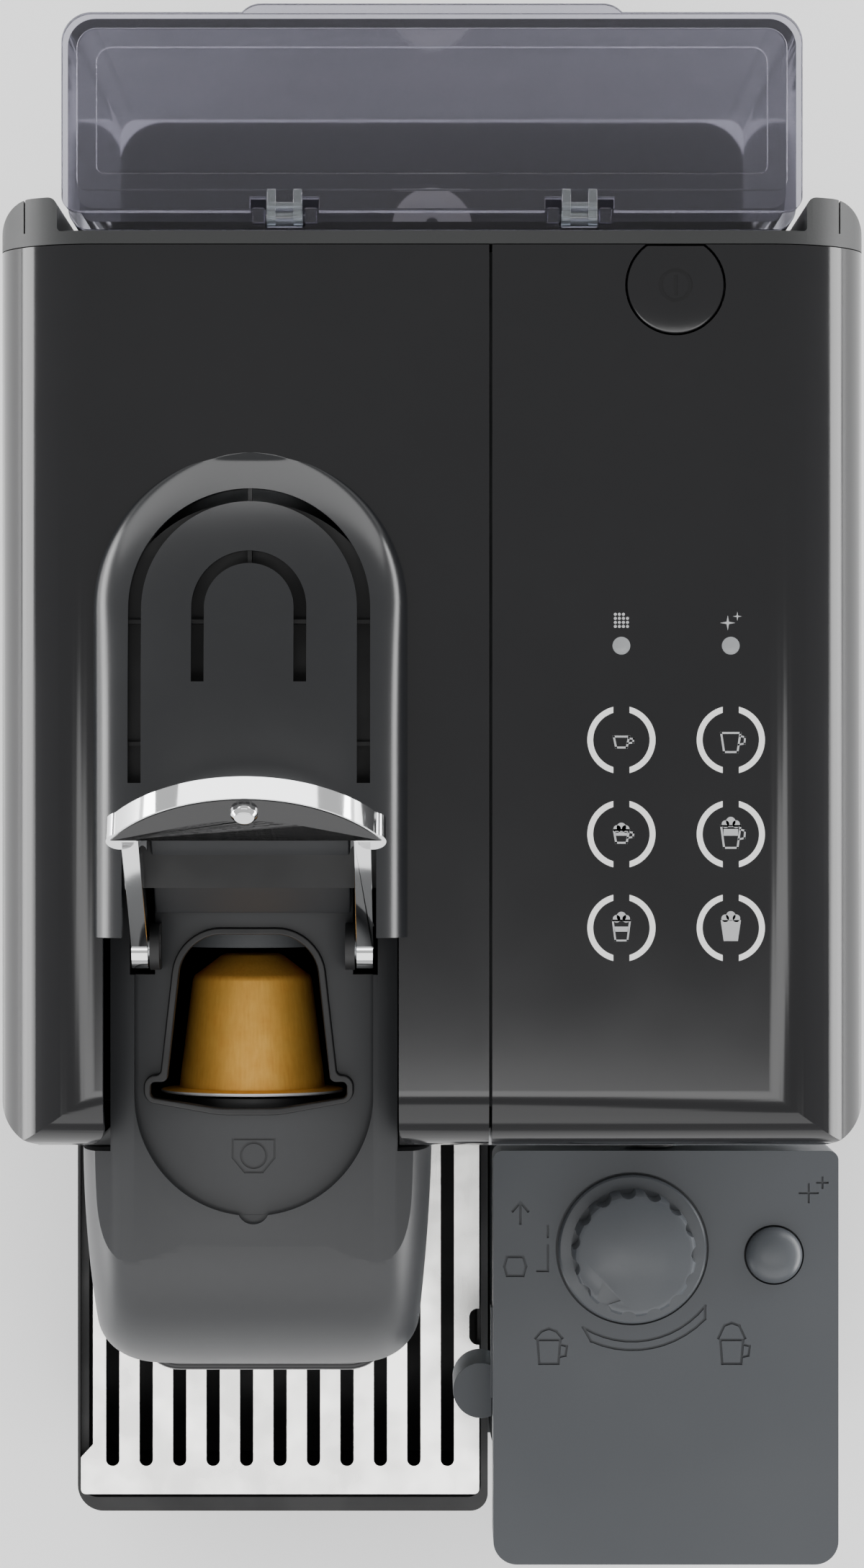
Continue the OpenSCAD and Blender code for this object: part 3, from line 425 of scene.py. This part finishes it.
def makeHood():
    x, h = head["x"], hood
    def shape(inset, low):
        rows = []
        for i in range(61):
            y = h["front"] - inset + (h["rear"] - inset - h["front"] + inset) * math.sin(math.pi / 2 * i / 60) - 0.02
            past = max(0, y - h["archY"]) / (31 - inset)
            half = (h["half"] - inset) * math.sqrt(max(0.0002, 1 - past ** 2))
            fall = max(0, (y - 10) / (62 - inset)) ** 2.6
            rows.append((y, half, low + (h["crown"] - inset - low) * max(0.06, 1 - fall), x))
        return loft(rows, h["power"], low)

    form = shape(0, body["top"] - 0.6)
    inside = shape(2.6, body["top"] - 4)
    notches = [block(x + s * 22.4 - 2.5, x + s * 22.4 + 2.5, -40, -5.5, 236, 270, [0, 0, 1, 1]) for s in (-1, 1)]
    mouth = block(x - 19.9, x + 19.9, -40, 0, 240, 270)
    form = carve(form, inside, *notches, mouth)
    vents = archVent(h["outerVent"], h["outerWidth"], 6.7) + archVent(h["innerVent"], h["innerWidth"], 26.5)
    form = carve(form, *vents)
    face = prism([(-19.4, 231.3), (-16.6, 231.3), (3, 255.6), (0, 255.6)], x - 19.6, x + 19.6, None, "X")
    addPiece("hoodCover", form, "satinHoodAbs", "machine", ["hood"], 0.45, 3)
    addPiece("hoodFace", face, "satinHeadAbs", "machine", (), 0.4, 2)
    # bridging ribs seen through the vents, over a flat black plate that stands in for the shade inside the hood
    ribs = [block(x + s * 22.4 - 1.4, x + s * 22.4 + 1.4, y, y + 0.8, 246, 248.5) for s in (-1, 1) for y in (38, 14)]
    ribs += [block(x + s * 10 - 1.4, x + s * 10 + 1.4, 38, 38.8, 246, 250) for s in (-1, 1)]
    ribs += [block(x - 0.4, x + 0.4, 49.6, 52.4, 246, 250), block(x - 0.4, x + 0.4, 62, 64.8, 246, 248)]
    # flat black plate under the vents: painted shade for the dark hollow below them
    ribs += [block(x - 27, x + 27, -14, 62, 244.2, 246.2, [0, 0, 26, 26], "Z", 24)]
    addPiece("hoodRibsAndShadeFloor", joined(*ribs), "blackPolypropylene", "machine")
    print("hood made")


makeHood()

# Brew head: neck, drum and scoop with the capsule slot
headShape = {"crown": 110, "scoopHalf": 24, "scoopY": -56, "scoopDepth": 2.6, "slotX": -36.8}


def hatOutline(grow):
    x, g = headShape["slotX"], grow
    half = [(-20.2 - g, -52.8 + g), (-20.2 - g, -56.7 - g * 0.6), (-6, -59.1 - g), (6, -59.1 - g), (20.2 + g, -56.7 - g * 0.6),
            (20.2 + g, -52.8 + g), (16.9 + g, -52.8 + g), (13.6 + g, -23.2 + g), (-13.6 - g, -23.2 + g), (-16.9 - g, -52.8 + g)]
    return [(x + u, v) for u, v in half], [1.4 + g, 1.6 + g, 20, 20, 1.6 + g, 1.4 + g, 1.2, 9 + g, 9 + g, 1.2]


def makeHead():
    x, low, top = head["x"], head["low"], head["top"]
    n, d = head["neckHalf"], head["drumHalf"]
    crownZ = top - headShape["crown"]
    neck = prism(rectangle(x - n, x + n, low, top + 2), body["front"] - 4, -12, [0, 0, 4, 4], "Y", 10)
    rows = []
    for i in range(49):
        run = 46.2 * (1 - math.cos(math.pi / 2 * i / 48))
        high = top + 0.2 - 37 + math.sqrt(max(0, 37 ** 2 - max(0, 37 - run) ** 2))
        wide = d - 10 + math.sqrt(max(0, 10 ** 2 - max(0, 10 - run) ** 2)) + 0.35 - 3.6 * max(0, 1 - run / 46) ** 1.6
        rows.append((head["drumFront"] + run, wide, high, x))
    drum = loft(rows, 7.5, low, 80)
    form = carve(drum, neck, how="UNION")
    form = carve(form, rod(x, -140, crownZ, headShape["crown"], 200, "Y", 512), how="INTERSECT")
    s = headShape["scoopHalf"]
    scoop = carve(block(x - s, x + s, headShape["scoopY"] - s, 10, 215, 250, [s - 0.02, s - 0.02, 0, 0], "Z", 40),
                  rod(x, -140, crownZ, headShape["crown"] - headShape["scoopDepth"], 200, "Y", 512))
    points, rounds = hatOutline(0.9)
    slot = prism(points, low + 20, 250, rounds, "Z", 10)
    leverSlots = [block(x + k * 22.4 - 2.5, x + k * 22.4 + 2.5, -31.8, -14, low - 3, 250) for k in (-1, 1)]
    form = carve(form, scoop, slot, *leverSlots)
    form = carve(form, block(x - n + 2.4, x + n - 2.4, body["front"] - 6, -10, low - 2, top - 8.5),
                 block(x - d + 5, x + d - 5, head["drumFront"] + 5, body["front"] - 4.8, low - 2, top - 36, [19, 19, 0, 0]))
    sign = iconBox(x, -68, [(-4.2, 3.2), (4.2, 3.2), (4.2, -0.5), (1.8, -3.4), (-1.8, -3.4), (-4.2, -0.5)], (top - 3, top + 2), 0.4)
    sign.append(turned([(2.3, top - 3), (2.75, top - 3), (2.75, top + 2), (2.3, top + 2), (2.3, top - 3)], x, -68, 0, steps=48))
    form = carve(form, joined(*sign), tangled=True)
    form = carve(form, rod(x, leverAt["y"] - 52.5, top - 2.4, 3.2, 8))  # pocket the lever nub drops into
    addPiece("brewHead", form, "satinHeadAbs", "machine", ["brew_head"], 0.7, 4, 24)
    print("brew head made")


makeHead()

# Lever: a chromed handle on two legs, dark underneath, with a small nub that locks it shut
lever = {"leg": 22.4, "legHalf": 1.7, "arm": 42, "outer": 31.8, "inner": 34.57, "half": 2.5, "tip": 2.75}


def makeLever():
    x, y, z, c = head["x"], leverAt["y"], leverAt["z"], lever
    bow = carve(rod(x, y - 25.2, z - c["half"], c["outer"], 2 * c["half"], segments=256),
                rod(x, y - 14.93, z - 4, c["inner"], 8, segments=256))
    bow = carve(bow, block(x - 40, x + 40, y - c["arm"], y + 40, z - 6, z + 6))
    ends = [rod(x + s * 24.25, y - c["arm"], z - c["half"], c["tip"], 2 * c["half"]) for s in (-1, 1)]
    bow = carve(bow, *ends, how="UNION")
    addPiece("leverHandle", leanLever(bow), "chromePlate", "lever", ["brew_lever", "lever_nub"], 1.9, 6, 40)
    legs = []
    for s in (-1, 1):
        leg = block(x + s * c["leg"] - c["legHalf"], x + s * c["leg"] + c["legHalf"], y - c["arm"], y, z - c["half"], z + c["half"])
        legs.append(carve(leg, rod(x + s * c["leg"] - c["legHalf"], y, z, 4.3, 2 * c["legHalf"], "X"), how="UNION"))
    addPiece("leverLegs", leanLever(joined(*legs)), "chromePlate", "lever", (), 0.6, 3)
    under = carve(rod(x, y - 25.2, z - c["half"] - 0.15, c["outer"] - 0.45, 1.9, segments=192),
                  rod(x, y - 14.93, z - 4, c["inner"] - 0.1, 8, segments=192),
                  block(x - 40, x + 40, y - c["arm"] - 0.5, y + 40, z - 6, z + 6))
    addPiece("leverUnderside", leanLever(under), "pianoBlackAbs", "lever", (), 0.25)
    nub = turned([(0, z - 4.2), (1.9, z - 4.2), (2.6, z - 3.5), (2.8, z - 2.4), (0, z - 2.4)], x, y - 52.5, 0)
    addPiece("leverNub", leanLever(nub), "chromePlate", "lever", (), 0.15)
    print("lever made")


makeLever()

# Coffee outlet: a glossy trim ring under the drum with the spout block below it
outlet = {"half": 27, "front": -118.7, "back": -71, "low": 158, "top": 164.8, "spoutY": -99.5, "spout": 9}


def makeOutlet():
    o, x = outlet, head["x"]
    ring = carve(block(x - o["half"], x + o["half"], o["front"], o["back"], o["low"], o["top"], [9, 9, 3, 3]),
                 block(x - o["half"] + 3, x + o["half"] - 3, o["front"] + 3, o["back"] - 3, o["low"] - 2, o["top"] - 2.5, [7, 7, 2, 2]))
    spout = turned([(6.2, 150), (7.4, 150), (9, 153.5), (9, 164), (6.2, 164), (6.2, 150)], x, o["spoutY"], 0)
    addPiece("outletTrim", ring, "pianoBlackAbs", "machine", ["coffee_outlet"], 1.4, 5)
    addPiece("outletSpout", spout, "blackPolypropylene", "machine", (), 0.3)
    print("outlet made")


makeOutlet()

# Capsule lying in the slot: a drawn aluminium cup with a domed end, its foil rim towards the front
capsule = {"y": -56.3, "z": 208, "profile": [(0, 0), (18.5, 0), (18.5, 0.35), (18.2, 0.6), (15, 0.9), (14.9, 1.2),
           (12.2, 22.8), (11.8, 23.7), (11.2, 24.1), (6.4, 27.7), (5.4, 28.1), (0, 28.1)]}


def makeCapsule():
    x = headShape["slotX"]
    cup = turned(capsule["profile"], x, 0, capsule["z"], "Y", 160)
    bmesh.ops.translate(cup, verts=cup.verts, vec=(0, capsule["y"], 0))
    addPiece("capsuleCup", cup, "goldAnodised", "capsule", ["capsule_shell"], 0, 2, 38)
    foil = turned([(0, -0.12), (17.9, -0.12), (18.55, -0.1), (18.7, 0.15), (18.6, 0.45), (18.3, 0.3), (0, 0.06)], x, 0, capsule["z"], "Y", 160)
    bmesh.ops.translate(foil, verts=foil.verts, vec=(0, capsule["y"], 0))
    addPiece("capsuleFoil", foil, "rolledFoil", "capsule", ["capsule_foil"])
    outer, outerRounds = hatOutline(0.85)
    inner, innerRounds = hatOutline(-0.5)
    lip = carve(prism(outer, 225.6, 229.4, outerRounds, "Z", 10), prism(inner, 220, 240, innerRounds, "Z", 10))
    addPiece("slotLip", lip, "blackPolypropylene", "machine", ["slot_lip"], 0.35, 3)
    print("capsule made")


makeCapsule()


# Touch keys: a split light ring around each drink sign, two lamps above with their signs
keys = {"x": (37.4, 59), "y": (15.2, -3.4, -21.9), "ring": 6.73, "stroke": 1.15, "gap": 1.6, "lampY": 33.8, "lamp": 1.75,
        "low": 244.94, "high": 245.05}


def makeKeys():
    k, flat = keys, (keys["low"], keys["high"])
    rings, signs = [], []
    for x in k["x"]:
        for y in k["y"]:
            r, t = k["ring"], k["stroke"]
            ring = turned([(r - t, flat[0]), (r, flat[0]), (r, flat[1]), (r - t, flat[1]), (r - t, flat[0])], x, y, 0)
            rings.append(carve(ring, block(x - k["gap"], x + k["gap"], y - 9, y + 9, 240, 250)))
    cups = {(0, 0): (1.5, 1.2, 0), (1, 0): (1.9, 2.1, 0), (0, 1): (1.5, 1.4, 1), (1, 1): (1.9, 2.4, 1), (0, 2): (1.7, 2.2, 2), (1, 2): (2, 2.3, 3)}
    for (i, j), (w, h, foam) in cups.items():
        x, y = k["x"][i], k["y"][j] - 0.3
        shape = [(-w, h * 0.8), (w, h * 0.8), (w * 0.7, -h), (-w * 0.7, -h)]
        if foam < 2:
            signs += iconBox(x, y, shape, flat, 0.38)
            signs += iconBox(x, y, [(w, h * 0.5), (w + 0.9, h * 0.4), (w + 0.8, -h * 0.2), (w * 0.8, -h * 0.3)], flat, 0.34, False)
        if foam == 2:
            signs += iconBox(x, y, shape, flat, 0.34)
            signs.append(block(x - w * 0.8, x + w * 0.8, y - h * 0.2, y + h * 0.25, *flat))
        if foam == 3:
            signs.append(prism([(x + u, y + v) for u, v in shape], *flat))
        if foam:
            signs.append(joined(rod(x - w * 0.55, y + h * 0.95, flat[0], 0.75, 0.11), rod(x + w * 0.55, y + h * 0.95, flat[0], 0.75, 0.11),
                                rod(x, y + h * 1.15, flat[0], 0.95, 0.11)))
        if foam == 1:
            signs.append(block(x - w * 0.75, x + w * 0.75, y, y + h * 0.55, *flat))
    addPiece("keyRings", joined(*rings), "whiteAcrylic", "machine", ["key_rings"])
    addPiece("keySigns", joined(*signs), "lightGreyAbs", "machine")
    lamps = [turned([(0, 244.8), (k["lamp"], 244.8), (k["lamp"], 245), (k["lamp"] - 0.2, 245.08), (0, 245.1)], x, k["lampY"], 0) for x in k["x"]]
    addPiece("lampLenses", joined(*lamps), "greyAcrylic", "machine", ["led_lenses"])
    dots = [rod(k["x"][0] - 1.2 + 0.8 * i, 37.6 + 0.8 * j, flat[0], 0.3, 0.11, segments=16) for i in range(4) for j in range(4) if i + j < 6]
    stars = []
    for u, v, r in ((-0.6, 38.3, 1.5), (1.3, 39.6, 0.9)):
        x = k["x"][1] + u
        stars.append(prism([(x - r, v), (x - r * 0.15, v - r * 0.15), (x, v - r), (x + r * 0.15, v - r * 0.15), (x + r, v),
                            (x + r * 0.15, v + r * 0.15), (x, v + r), (x - r * 0.15, v + r * 0.15)], *flat))
    addPiece("lampSigns", joined(*dots, *stars), "lightGreyAbs", "machine")
    print("keys made")


makeKeys()

# Milk jug: a tall clear container under a grey lid with a dial, a push button and a hinged spout
jug = {"x0": 12.9, "x1": 85.6, "y0": -157.8, "y1": -70.7, "low": 160.3, "top": 180, "knobX": 42.15, "knobY": -91.3, "cleanX": 72,
       "cleanY": -92.6, "notches": 15}


def makeJug():
    j, top = jug, jug["top"]
    lid = carve(block(j["x0"], j["x1"], j["y0"], j["y1"], j["low"], top, [5, 5, 2, 2]),
                block(j["x0"] + 2.5, j["x1"] - 2.5, j["y0"] + 2.5, j["y1"] - 2.5, j["low"] - 2, top - 4, [3, 3, 1.5, 1.5]),
                rod(j["knobX"], j["knobY"], top - 1.2, 16.1, 4, segments=128), rod(j["cleanX"], j["cleanY"], top - 3, 6.3, 6))
    cut = (top - 0.7, top + 2)
    marks = []
    for x, high in ((24.6, 0), (63.1, 1.2)):
        marks += iconBox(x, -112.5, [(-2.4, 2), (2.4, 2), (2, -3), (-2, -3)], cut, 0.5)
        marks += iconBox(x, -112.5, [(2.4, 1), (3.8, 0.7), (3.5, -1.3), (2.2, -1.6)], cut, 0.45, False)
        marks += iconBox(x, -112.5, [(-2.8, 2.4), (-1.6, 3.8 + high), (0, 4.4 + high), (1.6, 3.8 + high), (2.8, 2.4)], cut, 0.5, False)
    turn = [(j["knobX"] + 19.5 * math.cos(math.radians(a)), j["knobY"] + 19.5 * math.sin(math.radians(a))) for a in range(238, 323, 7)]
    thin = [(j["knobX"] + 21.3 * math.cos(math.radians(a)), j["knobY"] + 21.3 * math.sin(math.radians(a))) for a in range(316, 244, -7)]
    marks += iconBox(0, 0, turn + thin, cut, 0.5)
    for u, v, r in ((79.3, -79.6, 1.9), (82.2, -77.4, 1.1)):
        marks += iconBox(u, v, [(-r, 0), (r, 0)], cut, 0.4, False) + iconBox(u, v, [(0, -r), (0, r)], cut, 0.4, False)
    marks += iconBox(18.6, -86, [(0, 0), (0, 4.5), (-1.6, 2.6)], cut, 0.5, False) + iconBox(18.6, -86, [(0, 4.5), (1.6, 2.6)], cut, 0.5, False)
    marks += iconBox(17.6, -95, [(-1.8, 2), (1.6, 2), (2.2, 0), (1.6, -2), (-1.8, -2), (-2.4, 0)], cut, 0.5)
    marks += iconBox(22, -92, [(2.4, 5.5), (2.4, 3.2)], cut, 0.45, False) + iconBox(22, -92, [(2.4, 1.4), (2.4, -4), (0.2, -4)], cut, 0.45, False)
    lid = carve(lid, joined(*marks), tangled=True)
    addPiece("jugLid", lid, "blueGreyAbs", "jug_lid", ["jug_lid"], 0.5, 3)
    base = turned([(0, top - 0.9), (15.6, top - 0.9), (15.6, top + 1.3), (15.2, top + 1.8), (13.6, top + 2), (0, top + 2)], j["knobX"], j["knobY"], 0, steps=128)
    grip = turned([(0, top + 1.8), (12.9, top + 1.8), (12.8, top + 13.5), (12.2, top + 14.6), (11.4, top + 15), (0, top + 15)], j["knobX"], j["knobY"], 0, steps=128)
    bites = [rod(j["knobX"] + 13.6 * math.cos(math.tau * i / j["notches"]), j["knobY"] + 13.6 * math.sin(math.tau * i / j["notches"]),
                 top + 2.2, 1.9, 20, segments=24) for i in range(j["notches"])]
    pointer = prism([(j["knobX"] - 8.6, j["knobY"] - 11.2), (j["knobX"] - 3, j["knobY"] - 9.4), (j["knobX"] - 6.8, j["knobY"] - 5.6)], top + 14.6, top + 18)
    # knob and button take the lighter copy of the lid ABS, painted light on raised parts
    addPiece("frothKnobBase", base, "raisedPartsLitAbs", "froth_knob", ["froth_knob"], 0.1)
    addPiece("frothKnobGrip", carve(grip, joined(*bites), pointer), "raisedPartsLitAbs", "froth_knob", (), 0.35, 3)
    dome = turned([(0, top - 1), (5.9, top - 1), (5.9, top + 1), (5.4, top + 2), (4.2, top + 2.8), (2.4, top + 3.3), (0, top + 3.4)], j["cleanX"], j["cleanY"], 0)
    addPiece("cleanButton", dome, "raisedPartsLitAbs", "clean_button", ["clean_button"], 0, 2, 50)
    low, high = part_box("milk_spout")
    spout = rod(10.4, -123, low.z * 1000, 5.9, (high.z - low.z) * 1000)
    spout = carve(spout, block(j["x0"] - 0.15, 40, -140, -100, 0, 300))
    addPiece("milkSpout", spout, "blueGreyAbs", "milk_spout", ["milk_spout"], 0.5, 3)
    print("jug made")


makeJug()

# Tank lid: a clear smoked plate with a turned-down rim, a dark front bar and two hinge clips
tankLid = {"half": 73.6, "front": 120.2, "back": 159.7, "low": 236.2, "top": 240, "clipX": 29.3, "grip": 39}


def makeTankLid():
    t = tankLid
    plate = carve(block(-t["half"], t["half"], t["front"], t["back"], t["low"], t["top"], [3, 3, 6, 6]),
                  block(-t["grip"], t["grip"], 155.7, 161.4, 237.2, t["top"], [0, 0, 5, 5]), how="UNION")
    inner = block(3 - t["half"], t["half"] - 3, t["front"] + 4.4, t["back"] - 3, t["low"] - 2, t["top"] - 1.6, [2, 2, 4, 4])
    ridge = block(7 - t["half"], t["half"] - 7, t["front"] + 7.5, t["back"] - 7, t["top"] - 0.5, t["top"] + 1, [1.5, 1.5, 3, 3])
    clips = [block(s * t["clipX"] + u - 1.6, s * t["clipX"] + u + 1.6, 110, 122.9, 230, 245) for s in (-1, 1) for u in (-5.2, 5.2)]
    addPiece("tankLid", carve(plate, inner, ridge, *clips), "smokedSan", "tank_lid", ["tank_lid"], 0.4, 3)
    bars = []
    for s in (-1, 1):
        bars += [block(s * t["clipX"] + u - 0.9, s * t["clipX"] + u + 0.9, 118.2, 124.6, 236.4, 240.3) for u in (-2.6, 2.6)]
        bars += [block(s * t["clipX"] - 3.4, s * t["clipX"] + 3.4, 120.6, 122, 236.6, 240.1), rod(s * t["clipX"] - 3.6, 119.4, 237.2, 2.2, 7.2, "X")]
    addPiece("tankLidClips", joined(*bars), "clearCopolyester", "tank_lid", (), 0.25)
    print("tank lid made")


makeTankLid()

# Water tank: a thin walled clear vessel with a thicker front rim that carries the lid's hinge posts
tank = {"half": 72.5, "front": 117, "back": 158.8, "floor": 99, "top": 236, "wall": 2, "valveY": 132}


def makeTank():
    t, w = tank, tank["wall"]
    vessel = carve(block(-t["half"], t["half"], t["front"], t["back"], t["floor"], t["top"], [4, 4, 5.5, 5.5]),
                   block(w - t["half"], t["half"] - w, t["front"] + w, t["back"] - w, t["floor"] + w, t["top"] - 6, [3, 3, 4, 4]),
                   block(w - t["half"], t["half"] - w, 121.1, t["back"] - w, t["top"] - 7, t["top"] + 2, [3, 3, 4, 4]),
                   rod(0, t["valveY"], t["floor"] - 1, 6.5, 5),
                   *[rod(s * 29.3 - 4, 119.4, 237.2, 3.5, 8, "X") for s in (-1, 1)])
    addPiece("waterTank", vessel, "smokedSan", "water_tank", ["water_tank"], 0.5, 3)
    posts = [block(s * 29.3 + u - 1.2, s * 29.3 + u + 1.2, 117.8, 121, 235.9, 239) for s in (-1, 1) for u in (-5.2, 5.2)]
    addPiece("tankPosts", joined(*posts), "smokedSan", "water_tank", (), 0.3)
    print("tank made")


makeTank()

# Cup grid: pressed stainless plate with long slots, over the dark drip tray
grid = {"x0": -81.1, "x1": 10.9, "y0": -157.5, "y1": -67.5, "low": 74, "top": 78, "slots": 11, "pitch": 7.73, "width": 3.1}


def makeGrid():
    g, middle = grid, (grid["x0"] + grid["x1"]) / 2
    plate = prism([(g["x0"], g["y0"]), (g["x1"], g["y0"]), (g["x1"], g["y1"]), (-78.3, g["y1"]), (-78.3, -146), (g["x0"], -149)],
                  g["low"], g["top"], [1.2, 1.2, 0, 0, 0.6, 0.6])
    bars = [block(middle + (i - 5) * g["pitch"] - g["width"] / 2, middle + (i - 5) * g["pitch"] + g["width"] / 2, -151, -71, 70, 84,
                  [1.5, 1.5, 1.5, 1.5]) for i in range(g["slots"])]
    plate = carve(plate, joined(*bars), block(8.6, 14, -123, -114.6, 70, 84, [2, 0, 0, 2]),
                  block(g["x0"] + 1.5, g["x1"] - 1.5, g["y0"] + 1.5, g["y1"] - 1, g["low"] - 2, g["top"] - 1.2, [1, 1, 1, 1]))
    addPiece("cupGrid", plate, "polishedStainless", "cup_grid", ["cup_grid"], 0.45, 3)
    print("grid made")


makeGrid()

# Every CAD part that stays visible takes the finish its record slot asks for
slotFinish = {"grey_frame": "greyNylon", "rubber_black": "mouldedRubber", "pin_steel": "turnedSteel", "inner_grey": "greyNylon",
              "black_gloss": "pianoBlackAbs", "trim_grey": "lightGreyAbs", "hood_grey": "satinHoodAbs", "head_grey": "satinHeadAbs",
              "inner_black": "blackPolypropylene", "lever_chrome": "chromePlate", "seal_red": "redSilicone",
              "boiler_alloy": "castAluminium", "coil_wrap": "coilTape", "white_plastic": "whiteNylon", "hose_clear": "milkySilicone",
              "board_green": "solderResist", "lens_grey": "greyAcrylic", "light_guide": "whiteAcrylic", "tank_smoke": "smokedSan",
              "gold_foil": "goldAnodised", "foil_silver": "rolledFoil", "grid_steel": "polishedStainless",
              "jug_clear": "clearCopolyester", "jug_grey": "blueGreyAbs"}


def paintFrame():
    for node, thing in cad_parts.items():
        for place in thing.material_slots:
            slot = place.material.name.split(".")[0] if place.material else ""
            if slot in slotFinish:
                place.material = finish[slotFinish[slot]]
            else:
                print("no finish for", node, slot)


paintFrame()

# White sweep below, one long soft light on each side and one ahead of the machine, even light from above
studio = {"floor": "ffffff", "sky": "ffffff", "skyStrength": 0.72,
          "lights": [("left", (-1.1, 0, 0.22), (0, 0, 0.22), 0.34, 1.7, 22), ("right", (1.1, 0, 0.22), (0, 0, 0.22), 0.34, 1.7, 22),
                     ("grid", (0, -0.46, 2.4), (0, -0.46, 0), 0.4, 1.6, 9), ("ahead", (0, -1.9, 1.6), (0, 0, 0.1), 1.8, 3.4, 34),
                     ("behind", (0, 1.7, 1.05), (0, 0, 0.2), 1, 4.4, 50)]}


def makeStudio():
    bm = bmesh.new()
    bmesh.ops.create_grid(bm, x_segments=2, y_segments=2, size=4)
    floor = bpy.data.objects.new("floor", meshOf(bm, "floor"))
    bpy.context.collection.objects.link(floor)
    # matt white paper
    paper = makeFinish("mattPaper", {"colour": studio["floor"], "shade": "fdfdfd", "rough": 0.85, "roughTo": 0.9, "grain": 1,
                                     "depth": 0.01, "patch": 300, "ior": 1.4})
    floor.data.materials.append(paper)
    for name, where, target, length, width, power in studio["lights"]:
        lamp = bpy.data.lights.new(name, "AREA")
        lamp.shape, lamp.size, lamp.size_y, lamp.energy = "RECTANGLE", width, length, power
        thing = bpy.data.objects.new(name, lamp)
        thing.location = where
        thing.rotation_euler = (Vector(target) - Vector(where)).to_track_quat("-Z", "Y").to_euler()
        bpy.context.collection.objects.link(thing)
    world = bpy.data.worlds.new("studio")
    world.use_nodes = True
    world.node_tree.nodes["Background"].inputs[0].default_value = linear(studio["sky"])
    world.node_tree.nodes["Background"].inputs[1].default_value = studio["skyStrength"]
    bpy.context.scene.world = world
    print("studio made")


makeStudio()
